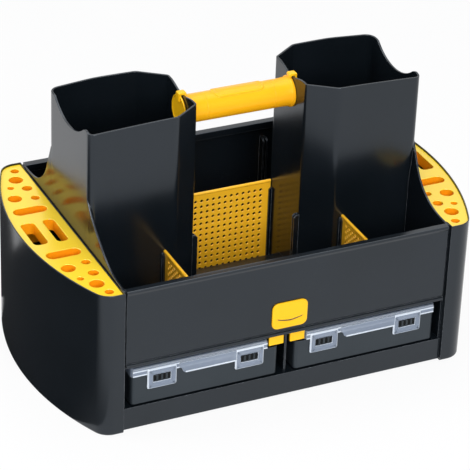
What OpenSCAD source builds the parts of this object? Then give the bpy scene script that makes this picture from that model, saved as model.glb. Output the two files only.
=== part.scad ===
// Tool storage caddy: a two-bay bench caddy with two tall bins, a carrying grip between
// them, a tool tray in each round end, slot-in dividers and two pull-out parts boxes.
// X runs left to right, Y front to back, Z up. The origin is on the floor, under the middle.

/* [Body] */
// Width of the straight part, from the left seam to the right seam
front_w = 420; // [400:1:450]
// Depth of the end caps, front to back
body_d = 336; // [330:1:360]
// Height of the body's rim above the floor
body_h = 190; // [180:1:205]
// Thickness of the moulded walls
wall = 2.5; // [2:0.1:3]
// How far each end cap bulges past its seam
cap_bulge = 65; // [58:1:72]
// Radius of the cap's large curve in plan
cap_arc_r = 370; // [340:1:420]
// Radius of the cap's front and back corners in plan
cap_corner_r = 22; // [16:1:26]
// How far the front and back panels lie behind the end caps
panel_recess = 3; // [2:0.5:5]
// Width of the flat rim along the top of the front and back panels
rim_w = 8; // [6:0.5:10]
// Depth of the rim's inner downturned lip
rim_lip = 9; // [6:0.5:12]
// Gap between pieces that are assembled and stay still
fit = 0.3; // [0.2:0.05:0.4]

/* [Base and bays] */
// Height of the base floor's top face
floor_z = 31; // [26:0.5:36]
// Gap between the base and the surface the caddy stands on
base_lift = 2; // [1:0.5:4]
// Clear height of the box bays, floor to roof
bay_h = 56.4; // [55:0.2:66]
// Room behind a box in its bay, for the box's hinges
bay_gap = 6.4; // [6.2:0.1:9]
// Height of the ribs that the boxes slide on
runner_h = 2; // [1.5:0.5:2.5]

/* [Tall bins] */
// Height of the bins' rims above the floor
bin_h = 344; // [330:1:370]
// Depth of the bins, front to back
bin_d = 129; // [120:1:140]
// Clear width between the two bins, where the hand goes
grip_gap = 140; // [130:1:150]
// Width of the slanted corner faces
corner_w = 33; // [26:1:36]
// Depth of the slanted corner faces
corner_d = 23.5; // [18:0.5:26]
// Radius of the bins' outer vertical edges at the front
bin_edge_r = 8; // [5:0.5:12]
// Radius of the bins' outer vertical edges at the back
bin_back_r = 12; // [6:0.5:16]
// How far the bins' back walls bow out
back_bow = 4; // [0:0.5:5]
// Radius between the slanted faces and the front and back faces
bin_soft_r = 14; // [8:1:18]
// Depth of the scoop in the outer rim
scoop_depth = 21.5; // [16:0.5:26]
// Width of the scoop in the outer rim
scoop_w = 92; // [80:1:94]
// Fall of the rim towards the outer corners
rim_fall = 4; // [1:0.5:6]
// Rise of the wings above the body's rim at the front of the bins
wing_front_rise = 68; // [50:1:80]
// Rise of the wings above the body's rim at the back of the bins
wing_back_rise = 106; // [80:1:120]

/* [Grip] */
// Diameter of the grip tube
grip_d = 34.5; // [30:0.5:38]
// Depth of the grip's axis below the bins' rims
grip_drop = 27; // [26:0.5:38]
// Wall thickness of the grip tube
grip_wall = 3; // [2:0.5:4]
// How far the grip's collars stand out around the tube
collar_rise = 2; // [1:0.5:3]
// Thickness of the grip's collars
collar_t = 3; // [2:0.5:4]
// Length of the raised pad on top of the grip
pad_l = 62; // [40:1:80]
// Width of the raised pad on top of the grip
pad_w = 22; // [14:1:26]

/* [Latch] */
// Width of the latch button
button_w = 46; // [40:1:50]
// Height of the latch button
button_h = 35; // [30:1:38]
// Height of the button's lower edge above the front panel's lower edge
button_up = 9.9; // [8:0.1:13]
// Thickness of the button in front of the panel
button_t = 2.7; // [2:0.1:3]
// Width of each of the two latch feet
foot_w = 19; // [14:0.5:20]
// Distance from the middle to the inner edge of each foot
foot_in = 4.2; // [4:0.2:5]
// Height of the feet's lower ends above the floor
foot_z = 73; // [72.9:0.1:76]
// Travel of the latch
latch_travel = 10; // [9:0.5:11]

/* [Dividers] */
// Height of the dividers' top beads below the body's rim
divider_drop = 20; // [14:1:30]
// Height of the centre divider's bead above the beads of the front dividers
centre_rise = 6; // [0:0.5:9]
// Thickness of the divider plates
divider_t = 2; // [1.6:0.1:2.4]
// Diameter of the bead along a divider's top
bead_d = 4; // [3:0.5:5]
// Distance of the front and back divider slots from the middle
slot_x = 117; // [112:1:126]
// How far the slot rails stand out from the wall
rail_out = 5; // [4:0.5:7]
// Distance between the holes in the centre divider
hole_pitch = 8; // [7:0.5:10]
// Depth of the top row of holes below the centre divider's bead
hole_drop = 10.5; // [7:0.5:14]
// Diameter of the holes in the centre divider
hole_d = 4.4; // [3:0.2:5.2]
// Distance between the staggered holes in the front dividers
stagger_pitch = 8; // [7:0.5:10]
// Diameter of the staggered holes in the front dividers
stagger_d = 4.6; // [3:0.2:5]

/* [Parts boxes] */
// Width of a parts box
box_w = 188; // [176:1:194]
// Depth of a parts box without its latch loops
box_d = 159; // [150:1:168]
// Height of the box's tray without its lid
box_h = 37.3; // [34:0.1:37.5]
// Height of the raised dome of the lid above its flange
dome_h = 9.6; // [8:0.2:10]
// Thickness of the box's walls
box_wall = 1.6; // [1.2:0.1:2]
// Width of the low strip beside the dome that the latch foot hangs over
shelf_w = 13.6; // [13.4:0.1:15]
// Distance of the latch loops from the middle of the box
loop_x = 56; // [48:1:62]
// Width of a latch loop
loop_w = 37; // [32:1:40]
// Height of a latch loop
loop_h = 27; // [25:1:28]
// Compartments across the box
cells_x = 3; // [2:1:6]
// Compartments from front to back
cells_y = 2; // [2:1:4]
// Thickness of the partitions in the parts boxes
partition_t = 1.2; // [1:0.1:2]

/* [Tool trays] */
// Thickness of the tool trays
tray_t = 2.5; // [2:0.1:3]
// Depth of the tool trays' faces below the body's rim
tray_drop = 2.3; // [1.5:0.1:4]
// Depth of the round cups under the tool trays
cup_depth = 40; // [20:1:60]
// Thickness of the cups' walls
cup_wall = 1.4; // [1:0.1:2]

/* [Screws] */
// Shank diameter of the base screws
screw_d = 4; // [3:0.5:5]
// Length of the base screws under the head
screw_l = 16; // [12:1:20]
// Head diameter of the base screws
screw_head_d = 8; // [7:0.5:9]

/* [Hidden] */
$fn = 48;

eps = 0.01;                        // overrun that keeps a cut from ending on a face
half_w = front_w / 2;              // the seam plane
half_d = body_d / 2;
panel_y = half_d - panel_recess;   // outer faces of the front and back panels
panel_in = panel_y - wall;         // their inner faces
core_w = half_w - fit;             // half width of what lies between the caps
panel_x = core_w - wall - fit;     // ends of the panels, beside the wings
rim_y = panel_y - rim_w;           // inner edge of the rim
deck_z = floor_z + bay_h;          // underside of the deck, lower edge of the front panel
deck_top = deck_z + wall;
divider_top = body_h - divider_drop;
rail_top = divider_top - bead_d / 2 - fit;   // tops of the slot rails, just under a divider's bead

// Plan of the end caps
cap_arc_x = half_w + cap_bulge - cap_arc_r;
cap_fillet_y = half_d - cap_corner_r;
cap_fillet_x = cap_arc_x + sqrt(pow(cap_arc_r - cap_corner_r, 2) - pow(cap_fillet_y, 2));
cap_fillet_a = atan2(cap_fillet_y, cap_fillet_x - cap_arc_x);
seat_w = 2;                        // ledge that a tool tray rests on
seat_h = 4;
tray_top = body_h - tray_drop;

// Plan of the bins
bin_y = bin_d / 2;
bin_x = grip_gap / 2;
flat_y = bin_y - corner_d;         // where the inner face meets the slanted faces
slot_y = flat_y - 3.5;             // slot rails on the inner faces
channel = divider_t + 2 * fit;     // clear width of a divider slot
rail_t = 2;
scoop_front = bin_y - bin_edge_r;  // where the flat part of the outer wall ends, front and back
scoop_back = bin_y - bin_back_r;
guide_lead = 30;                   // where the ribs beside the boxes begin, behind the front

// Latch
button_z = deck_z + button_up;
neck_w = 20;
neck_h = 9;
neck_z = button_z + button_h / 2;
plate_t = 2;
leg_t = 3;
slider_y = -panel_in + fit;        // front face of the slider behind the panel
foot_out = foot_in + foot_w;

// Grip
grip_z = bin_h - grip_drop;
grip_r = grip_d / 2;
hole_r = grip_r + fit;              // hole in a bin's inner wall
dip_depth = 6;                     // shallow dip of the inner rim over the grip
dip_w = 64;
end_disc_r = grip_r + 2.5;
end_disc_t = 4;

// Parts boxes
box_x = half_w / 2;                // middle of each bay
box_z = floor_z + runner_h + fit;
box_front = -panel_in + fit;       // front face of a box at rest
box_back = box_front + box_d;
bay_back = box_back + bay_gap;     // where the bays end, front face of the deck's rear wall
box_r = 5;
flange_t = 1.6;
box_rim = box_z + box_h;
flange_top = box_rim + flange_t;
dome_top = flange_top + dome_h;
hinge_r = 1.5;
hinge_z = box_rim - 6;
hinge_y = box_back + 2.6;
hinge_l = 28;
hinge_x = 60;
window_w = 22.5;
window_h = 10;
window_z = 59.5;
loop_z = window_z - 8.2;

// Base screws, under the back half of each bin
screw_spots = [for (s = [-1, 1], x = [bin_x + corner_w + 14, half_w - 24]) [s * x, bin_y - 22]];
boss_d = 10;

yellow = [0.98, 0.72, 0.05];
black = [0.10, 0.105, 0.11];
dark = [0.16, 0.17, 0.18];
clear = [0.78, 0.84, 0.9, 0.6];
steel = [0.6, 0.6, 0.62];

// ---- shared shapes ----

function arc(c, r, a0, a1, n) =
  [for (i = [0 : n]) let (a = a0 + (a1 - a0) * i / n) [c[0] + r * cos(a), c[1] + r * sin(a)]];

function unit(v) = v / norm(v);

// Corner i of a convex, counter-clockwise outline, moved in by t
function moved_in(pts, i, t) =
  let (n = len(pts), p = pts[i],
    d0 = unit(p - pts[(i + n - 1) % n]), d1 = unit(pts[(i + 1) % n] - p),
    n0 = [-d0[1], d0[0]], n1 = [-d1[1], d1[0]])
  p + t * (n0 + n1) / (1 + n0 * n1);

function inset(pts, t) = [for (i = [0 : len(pts) - 1]) moved_in(pts, i, t)];

// One rounded corner of a convex outline: an arc tangent to both edges
function corner_arc(a, p, b, r, n) =
  let (u = unit(a - p), v = unit(b - p), half = acos(u * v) / 2,
    c = p + unit(u + v) * r / sin(half),
    s = p + u * r / tan(half) - c, e = p + v * r / tan(half) - c,
    a0 = atan2(s[1], s[0]), turn = 180 - 2 * half)
  arc(c, r, a0, a0 + turn, n);

function rounded(pts, radii, n = 5) =
  [for (i = [0 : len(pts) - 1])
    each corner_arc(pts[(i + len(pts) - 1) % len(pts)], pts[i], pts[(i + 1) % len(pts)], radii[i], n)];

// Rectangle with exact round corners, centred
module round_rect(w, h, r) {
  square([w - 2 * r, h], center = true);
  square([w, h - 2 * r], center = true);
  for (x = [-1, 1], y = [-1, 1]) translate([x * (w / 2 - r), y * (h / 2 - r)]) circle(r);
}

// Extrudes a YZ outline along X between two values
module along_x(x0, x1) {
  translate([x0, 0, 0]) rotate([90, 0, 90]) linear_extrude(x1 - x0) children();
}

// Extrudes an XZ outline along Y between two values
module along_y(y0, y1) {
  translate([0, y1, 0]) rotate([90, 0, 0]) linear_extrude(y1 - y0) children();
}

module block(x, y, z) {
  translate([x[0], y[0], z[0]]) cube([x[1] - x[0], y[1] - y[0], z[1] - z[0]]);
}

module side(s) {
  if (s < 0) mirror([1, 0, 0]) children();
  else children();
}

// A pair of ribs on a wall at y = 0, facing -Y, that hold a divider's edge at x = 0
module slot_rails(z0, z1, out = rail_out) {
  lead = 2;
  for (s = [-1, 1])
    side(s) along_x(channel / 2, channel / 2 + rail_t)
      polygon([[wall / 2, z0], [-out, z0], [-out, z1 - lead], [-out + lead, z1], [wall / 2, z1]]);
}

// ---- base and deck ----

module base_frame() {
  color(black) difference() {
    union() {
      difference() {
        block([-core_w, core_w], [-panel_y + 1, panel_y - 1], [base_lift, floor_z]);
        block([-core_w + wall, core_w - wall], [-panel_y + 1 + wall, panel_y - 1 - wall],
          [base_lift - 1, floor_z - wall]);
      }
      // Ribs that stiffen the floor from below
      for (x = [-2 : 2])
        block([x * core_w / 3 - 1, x * core_w / 3 + 1], [-panel_y + 2, panel_y - 2],
          [base_lift + 8, floor_z - wall + eps]);
      for (y = [-1 : 1])
        block([-core_w + 1, core_w - 1], [y * panel_y / 2 - 1, y * panel_y / 2 + 1],
          [base_lift + 8, floor_z - wall + eps]);
      // Runners under the boxes
      for (s = [-1, 1], x = [-box_w / 3, box_w / 3])
        block([s * box_x + x - 3, s * box_x + x + 3], [-panel_in + 6, bay_back - 1],
          [floor_z - eps, floor_z + runner_h]);
      // Screw wells
      for (p = screw_spots) translate([p[0], p[1], floor_z - wall - 3]) cylinder(d = boss_d + 4, h = 3 + eps);
    }
    for (p = screw_spots) translate([p[0], p[1], floor_z - wall - 4]) cylinder(d = screw_d + 0.6, h = wall + 5);
  }
}

module bay_deck() {
  notch_x = [foot_in - 0.8, foot_out + 0.8];
  notch_y = slider_y + leg_t + 1;
  color(black) difference() {
    union() {
      block([-core_w, core_w], [slider_y, bay_back + wall], [deck_z, deck_top]);
      // Front lip of the roof
      block([-core_w, core_w], [slider_y, slider_y + wall], [deck_z - 2.5, deck_z + eps]);
      // Rear wall of the bays
      block([-core_w, core_w], [bay_back, bay_back + wall], [floor_z, deck_z + eps]);
      // Side walls of the bays
      for (s = [-1, 1]) side(s)
        block([core_w - wall, core_w], [slider_y, bay_back + eps], [floor_z, deck_z + eps]);
      // Post and web between the two bays
      block([-wall / 2, wall / 2], [slider_y + 3, bay_back + eps], [floor_z, deck_z + eps]);
      // Ribs that steady the boxes sideways
      for (s = [-1, 1]) side(s) {
        block([wall / 2 - eps, box_x - box_w / 2 - 1], [slider_y + guide_lead, bay_back + eps],
          [box_z + 8, box_z + 11]);
        block([box_x + box_w / 2 + 1, core_w - wall + eps], [slider_y + guide_lead, bay_back + eps],
          [box_z + 8, box_z + 11]);
      }
    }
    // Way through for the latch feet
    for (s = [-1, 1]) side(s)
      block(notch_x, [slider_y - 1, notch_y], [deck_z - 4, deck_top + 1]);
    block([-notch_x[1], notch_x[1]], [slider_y - 1, notch_y], [deck_z + 1.2, deck_top + 1]);
  }
}

// ---- front and back ----

// YZ outline of a panel whose outer face looks to -Y, with its rolled rim reaching out to y
function rim_profile(z0, y) = concat(
  [[-panel_in, z0], [-panel_y, z0], [-panel_y, body_h - 3 - y + panel_y], [-y, body_h - 3]],
  arc([-y + 2, body_h - 2], 2, 180, 90, 6),
  arc([-rim_y - 1.5, body_h - 1.5], 1.5, 90, 0, 4),
  [[-rim_y, body_h - rim_lip], [-rim_y - 1.8, body_h - rim_lip], [-rim_y - 1.8, body_h - wall],
   [-panel_in, body_h - wall]]);

// Slot rails inside a panel, which stand out past its rim
module panel_slots(z0) {
  for (s = [-1, 1]) translate([s * slot_x, -panel_in, 0]) mirror([0, 1, 0])
    slot_rails(z0, rail_top, panel_in - rim_y + rail_out);
}

module front_panel() {
  lip_out = 2;
  lip_z = deck_z + 4;
  color(black) difference() {
    union() {
      along_x(-panel_x, panel_x) polygon(rim_profile(deck_z, panel_y + 1.5));
      // Lip along the lower edge, over the bays
      along_x(-panel_x, panel_x)
        polygon([[-panel_y + eps, deck_z], [-panel_y - lip_out + 0.6, deck_z], [-panel_y - lip_out, deck_z + 0.8],
          [-panel_y - lip_out, lip_z - 0.8], [-panel_y - lip_out + 0.6, lip_z], [-panel_y + eps, lip_z]]);
      panel_slots(deck_top + fit);
    }
    // Shadow groove above the lip
    block([-panel_x - 1, panel_x + 1], [-panel_y - 1, -panel_y + 0.8], [lip_z, lip_z + 3]);
    // Window that the latch slides in
    block([-neck_w / 2 - 0.5, neck_w / 2 + 0.5], [-panel_y - 1, -panel_in + 1],
      [neck_z - neck_h / 2 - 0.5, neck_z + neck_h / 2 + latch_travel + 0.5]);
  }
}

module back_panel() {
  color(black) mirror([0, 1, 0]) {
    along_x(-panel_x, panel_x) polygon(rim_profile(floor_z, half_d));
    panel_slots(floor_z);
  }
}

// ---- end caps and tool trays ----

// Plan of the right-hand cap, moved in by t, closed by a straight edge at x_in
function cap_plan(t, x_in) = concat(
  [[x_in, -(half_d - t)]],
  arc([cap_fillet_x, -cap_fillet_y], cap_corner_r - t, -90, -cap_fillet_a, 8),
  [for (i = [1 : 29]) let (a = cap_fillet_a * (i / 15 - 1))
    [cap_arc_x + (cap_arc_r - t) * cos(a), (cap_arc_r - t) * sin(a)]],
  arc([cap_fillet_x, cap_fillet_y], cap_corner_r - t, cap_fillet_a, 90, 8),
  [[x_in, half_d - t]]);

module cap_solid(t, x_in, z0, z1) {
  translate([0, 0, z0]) linear_extrude(z1 - z0) polygon(cap_plan(t, x_in));
}

module end_cap() {
  seat_z = tray_top - tray_t;
  color(black) difference() {
    cap_solid(0, half_w, 0, body_h);
    cap_solid(wall, half_w + wall, seat_z, body_h + 1);
    cap_solid(wall + seat_w, half_w + wall + seat_w, seat_z - seat_h, seat_z + eps);
    cap_solid(wall, half_w + wall, wall, seat_z - seat_h);
  }
}

// Round cups of a tool tray: distance past the seam, distance from the middle line, diameter
cups = [[13.5, 152.5, 10.5], [20, 131, 17.5], [33, 114, 8], [14.5, 107, 12.5], [37.5, 87.5, 17],
  [13.5, 81.5, 10.5]];
// Oblong cups: distance past the seam, distance from the middle line, length, width
oblong = [30.5, 54.5, 42, 16];
// Open slots: distance past the seam, width, length
slots = [[19.5, 14, 54], [46, 17.5, 52]];

module stadium(l, w) {
  square([l - w, w], center = true);
  for (s = [-1, 1]) translate([s * (l - w) / 2, 0]) circle(d = w);
}

module tool_tray() {
  inset_t = wall + fit;
  top = tray_top;
  color(yellow) difference() {
    union() {
      cap_solid(inset_t, half_w + inset_t, top - tray_t, top);
      for (c = cups, s = [-1, 1])
        translate([half_w + c[0], s * c[1], top - cup_depth * c[2] / 17.5])
          cylinder(d = min(c[2] + 2 * cup_wall, 2 * (c[0] - wall - seat_w - fit)), h = cup_depth * c[2] / 17.5);
      for (s = [-1, 1])
        translate([half_w + oblong[0], s * oblong[1], top - cup_depth])
          linear_extrude(cup_depth) stadium(oblong[2] + 2 * cup_wall, oblong[3] + 2 * cup_wall);
      for (c = slots)
        translate([half_w + c[0], 0, top - cup_depth])
          linear_extrude(cup_depth) round_rect(c[1] + 2 * cup_wall, c[2] + 2 * cup_wall, 4 + cup_wall);
    }
    for (c = cups, s = [-1, 1])
      translate([half_w + c[0], s * c[1], top - cup_depth * c[2] / 17.5 + cup_wall])
        cylinder(d = c[2], h = cup_depth);
    for (s = [-1, 1])
      translate([half_w + oblong[0], s * oblong[1], top - cup_depth + cup_wall])
        linear_extrude(cup_depth) stadium(oblong[2], oblong[3]);
    for (c = slots)
      translate([half_w + c[0], 0, top - cup_depth - 1])
        linear_extrude(cup_depth + 2) round_rect(c[1], c[2], 4);
  }
}

// ---- tall bins with their wings ----

bin_corners = [[bin_x, -flat_y], [bin_x + corner_w, -bin_y], [core_w, -bin_y], [core_w, bin_y],
  [(bin_x + corner_w + core_w) / 2, bin_y + back_bow], [bin_x + corner_w, bin_y], [bin_x, flat_y]];
bin_radii = [5, bin_soft_r, bin_edge_r, bin_back_r, 150, bin_soft_r, 5];

function bin_plan(t) = rounded(inset(bin_corners, t), [for (r = bin_radii) r - t]);

module bin_wall(z0, z1) {
  translate([0, 0, z0]) linear_extrude(z1 - z0) difference() {
    polygon(bin_plan(0));
    polygon(bin_plan(wall));
  }
}

// Height of a wing's edge above the rim at share u of the way to the body's corner
function sweep(rise, power, u) = rise * pow(1 - u, power);

// YZ outline of the outer wall: wings, and the bin's wall with its scooped rim
function wing_outline() =
  let (y1 = panel_in - fit, n = 12, dip = scoop_depth - rim_fall,
    r = (pow(scoop_w / 2, 2) + pow(dip, 2)) / (2 * dip), a = asin(scoop_w / 2 / r))
  concat(
    [[-y1, deck_top]],
    [[bay_back + wall + fit, deck_top], [bay_back + wall + fit, floor_z], [y1, floor_z]],
    [for (i = [n : -1 : 0]) [scoop_back + (y1 - scoop_back) * i / n, body_h + sweep(wing_back_rise, 4, i / n)]],
    [[scoop_back, bin_h - rim_fall]],
    [for (i = [0 : 16]) let (t = a - 2 * a * i / 16) [r * sin(t), bin_h - scoop_depth + r - r * cos(t)]],
    [[-scoop_front, bin_h - rim_fall]],
    [for (i = [0 : n]) [-scoop_front - (y1 - scoop_front) * i / n, body_h + sweep(wing_front_rise, 3, i / n)]]);

module tower() {
  skirt_y = bay_back + wall + fit;
  color(black) difference() {
    union() {
      difference() {
        bin_wall(deck_top, bin_h);
        // The outer wall is drawn by its own outline, with the scoop
        block([core_w - wall - 1, core_w + 1], [-scoop_front, scoop_back], [body_h, bin_h + 1]);
        // The rim falls towards its outer corners
        for (y = [[-bin_y - 1, -scoop_front], [scoop_back, bin_y + back_bow + 1]])
          along_y(y[0], y[1])
            polygon([[bin_x + corner_w, bin_h], [core_w, bin_h - rim_fall], [core_w + 1, bin_h - rim_fall],
              [core_w + 1, bin_h + 1], [bin_x + corner_w, bin_h + 1]]);
        // Dip over the grip and the hole that holds it
        translate([0, 0, bin_h]) along_x(bin_x - 1, bin_x + wall + 1)
          polygon(concat([[-dip_w / 2, 1]],
            [for (i = [0 : 12]) [-dip_w / 2 + dip_w * i / 12, -dip_depth * pow(cos(i * 15 - 90), 2)]],
            [[dip_w / 2, 1]]));
        translate([bin_x - 1, 0, grip_z]) rotate([0, 90, 0]) cylinder(r = hole_r, h = wall + 2);
      }
      along_x(core_w - wall, core_w) polygon(wing_outline());
      // Floor of the bin
      translate([0, 0, deck_top]) linear_extrude(wall) polygon(bin_plan(wall / 2));
      // Skirt behind the bays, down to the base
      intersection() {
        bin_wall(floor_z, deck_top + eps);
        block([0, half_w], [skirt_y, half_d], [0, bin_h]);
      }
      // Screw bosses
      for (p = screw_spots) if (p[0] > 0)
        translate([p[0], p[1], floor_z]) cylinder(d = boss_d, h = deck_top - floor_z + eps);
      // Slot rails on the front and back faces
      translate([slot_x, -bin_y, 0]) slot_rails(deck_top, rail_top);
      translate([slot_x, bin_y, 0]) mirror([0, 1, 0]) slot_rails(floor_z, rail_top);
      // Slot rails on the inner face
      for (s = [-1, 1])
        translate([bin_x, s * slot_y, 0]) rotate([0, 0, -90])
          slot_rails(s < 0 ? deck_top : floor_z, rail_top, rail_out - 1);
    }
    for (p = screw_spots) if (p[0] > 0)
      translate([p[0], p[1], floor_z - 1]) cylinder(d = screw_d - 0.6, h = screw_l + 2);
  }
}

// ---- grip ----

module handle_grip() {
  tube_end = bin_x + wall + 0.6;
  color(yellow) difference() {
    union() {
      translate([-tube_end, 0, grip_z]) rotate([0, 90, 0]) cylinder(r = grip_r, h = 2 * tube_end, $fn = 64);
      for (s = [-1, 1]) side(s)
        translate([bin_x - fit - collar_t, 0, grip_z]) rotate([0, 90, 0])
          cylinder(r = grip_r + collar_rise, h = collar_t, $fn = 64);
      // Raised pad on top
      intersection() {
        translate([-pad_l / 2, 0, grip_z]) rotate([0, 90, 0]) cylinder(r = grip_r + 1, h = pad_l, $fn = 64);
        block([-pad_l, pad_l], [-pad_w / 2, pad_w / 2], [grip_z + grip_wall, grip_z + grip_r + 2]);
      }
    }
    translate([-tube_end - 1, 0, grip_z]) rotate([0, 90, 0])
      cylinder(r = grip_r - grip_wall, h = 2 * tube_end + 2, $fn = 64);
  }
}

// Plug that closes one end of the grip inside a bin, with a clip over the rim
module handle_end() {
  x0 = bin_x + wall + 0.9;
  bore_r = grip_r - grip_wall;
  rim_z = bin_h - dip_depth;
  color(yellow) {
    difference() {
      union() {
        translate([x0, 0, grip_z]) rotate([0, 90, 0]) cylinder(r = end_disc_r, h = end_disc_t, $fn = 64);
        translate([x0 - 14, 0, grip_z]) rotate([0, 90, 0]) cylinder(r = bore_r - fit, h = 14 + eps, $fn = 64);
      }
      // Dished face and hollow spigot
      translate([x0 + 2, 0, grip_z]) rotate([0, 90, 0]) cylinder(r = end_disc_r - 2.5, h = end_disc_t, $fn = 64);
      translate([x0 - 15, 0, grip_z]) rotate([0, 90, 0]) cylinder(r = bore_r - fit - 2, h = 15, $fn = 64);
    }
    // Clip over the rim, down to the collar
    difference() {
      block([bin_x - fit - 3, x0 + end_disc_t], [-4.5, 4.5], [grip_z + end_disc_r - 3, rim_z + 3.2]);
      block([bin_x - fit, x0 - eps], [-6, 6], [grip_z, rim_z + 1]);
      block([bin_x - fit - 4, bin_x], [-6, 6], [grip_z, grip_z + grip_r + collar_rise + fit]);
    }
  }
}

// ---- latch ----

module latch_slider() {
  face_y = -panel_y - 0.3;
  color(yellow) union() {
    difference() {
      translate([0, 0, button_z + button_h / 2]) along_y(face_y - button_t, face_y) round_rect(button_w, button_h, 7);
      // Finger scoop, deepest along its curved lower edge
      translate([0, face_y - button_t, button_z + button_h - 2]) rotate([94, 0, 0])
        translate([0, 0, -0.4]) cylinder(r = 19, h = 6, $fn = 64);
    }
    // Neck through the panel
    block([-neck_w / 2, neck_w / 2], [face_y - 1, slider_y + eps], [neck_z - neck_h / 2, neck_z + neck_h / 2]);
    // Plate and feet behind the panel
    block([-foot_out, foot_out], [slider_y, slider_y + plate_t], [deck_z + 2, button_z + button_h - 4]);
    for (s = [-1, 1]) side(s)
      block([foot_in, foot_out], [slider_y, slider_y + leg_t], [foot_z, deck_z + 2 + eps]);
  }
}

// Bracket behind the panel that the slider's plate runs in
module latch_keeper() {
  x0 = foot_out + 0.6;
  z0 = deck_top + 4;
  z1 = button_z + button_h + latch_travel;
  y0 = slider_y;
  color(black) difference() {
    block([-x0 - 6, x0 + 6], [y0, y0 + leg_t + 2.4], [z0, z1]);
    block([-x0, x0], [y0 - 1, y0 + leg_t + 0.4], [z0 - 1, z1 + 1]);
  }
}

// ---- dividers ----

module centre_divider() {
  half = bin_x - 1;
  z0 = floor_z + fit;
  top = divider_top + centre_rise;
  rows = floor((top - hole_drop - z0) / hole_pitch);
  cols = floor((2 * half - 2 * rail_out - 2) / hole_pitch);
  color(yellow) union() {
    difference() {
      block([-half, half], [slot_y - divider_t / 2, slot_y + divider_t / 2], [z0, top]);
      for (i = [0 : cols - 1], k = [0 : rows - 1])
        translate([(i - (cols - 1) / 2) * hole_pitch, slot_y, top - hole_drop - k * hole_pitch])
          rotate([90, 0, 0]) cylinder(d = hole_d, h = divider_t + 2, center = true, $fn = 16);
    }
    translate([-half, slot_y, top]) rotate([0, 90, 0]) cylinder(d = bead_d, h = 2 * half);
  }
}

module front_divider() {
  y0 = -rim_y + fit + 0.2;
  y1 = -bin_y - fit - 0.2;
  z0 = deck_top + fit;
  rows = floor((divider_top - 7 - z0) / (stagger_pitch / 2));
  cols = floor((y1 - y0 - 2 * rail_out - stagger_d - 3) / stagger_pitch);
  color(yellow) union() {
    difference() {
      block([slot_x - divider_t / 2, slot_x + divider_t / 2], [y0, y1], [z0, divider_top]);
      for (k = [0 : rows - 1], i = [0 : cols - 1 - k % 2])
        translate([slot_x, (y0 + y1) / 2 + (i - (cols - 1 - k % 2) / 2) * stagger_pitch,
          divider_top - 7 - k * stagger_pitch / 2])
          rotate([0, 90, 0]) cylinder(d = stagger_d, h = divider_t + 2, center = true, $fn = 16);
    }
    translate([slot_x, y1, divider_top]) rotate([90, 0, 0]) cylinder(d = bead_d, h = y1 - y0);
  }
}

// ---- parts boxes ----

// Drawn for the right-hand bay; the shelf for the latch foot is on the inner side
module box_shell_plan(t) {
  translate([box_x, (box_front + box_back) / 2]) round_rect(box_w - 2 * t, box_d - 2 * t, box_r - t);
}

module box_tray() {
  z_in = box_z + box_wall;
  color(dark) difference() {
    union() {
      difference() {
        translate([0, 0, box_z]) linear_extrude(box_h) box_shell_plan(0);
        translate([0, 0, z_in]) linear_extrude(box_h) box_shell_plan(box_wall);
      }
      // Latch noses with three ribs in each window
      for (s = [-1, 1]) {
        x = box_x + s * loop_x;
        block([x - window_w / 2 + 1, x + window_w / 2 - 1], [box_front - 0.8, box_front + 1],
          [window_z + 1, window_z + window_h - 1]);
        for (i = [-1 : 1])
          block([x + i * 6 - 1, x + i * 6 + 1], [box_front - 2, box_front], [window_z + 1, window_z + window_h - 1]);
      }
      // Hinge ears
      for (s = [-1, 1], e = [-1, 1])
        translate([box_x + s * hinge_x + e * (hinge_l / 2 + 2.3) - 1.5, 0, 0])
          rotate([90, 0, 90]) linear_extrude(3) {
            translate([hinge_y, hinge_z]) circle(r = 3);
            translate([box_back - 0.5, hinge_z - 3]) square([hinge_y - box_back + 0.5, 6]);
          }
    }
    for (s = [-1, 1])
      translate([box_x + s * hinge_x - hinge_l, hinge_y, hinge_z]) rotate([0, 90, 0])
        cylinder(r = hinge_r + 0.05, h = 2 * hinge_l);
  }
}

// The lift-out grid that parts a box into cells, standing on its floor between its walls
module box_partitions() {
  z_in = box_z + box_wall;
  x_in = box_x - box_w / 2 + box_wall;
  y_in = box_front + box_wall;
  cell_w = (box_w - 2 * box_wall) / cells_x;
  cell_d = (box_d - 2 * box_wall) / cells_y;
  color(dark) {
    for (i = [1 : cells_x - 1])
      block([x_in + i * cell_w - partition_t / 2, x_in + i * cell_w + partition_t / 2],
        [y_in + fit, box_back - box_wall - fit], [z_in, box_rim - 2]);
    for (j = [1 : cells_y - 1])
      block([x_in + fit, box_x + box_w / 2 - box_wall - fit],
        [y_in + j * cell_d - partition_t / 2, y_in + j * cell_d + partition_t / 2], [z_in, box_rim - 2]);
  }
}

// A latch loop: a bevelled frame around a window
module latch_loop() {
  y0 = box_front - 0.3;
  translate([0, 0, loop_z + loop_h / 2]) along_y(y0 - 2.7, y0)
    difference() {
      round_rect(loop_w, loop_h, 2.5);
      translate([0, window_z + window_h / 2 - loop_z - loop_h / 2]) square([window_w, window_h], center = true);
    }
}

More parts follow.
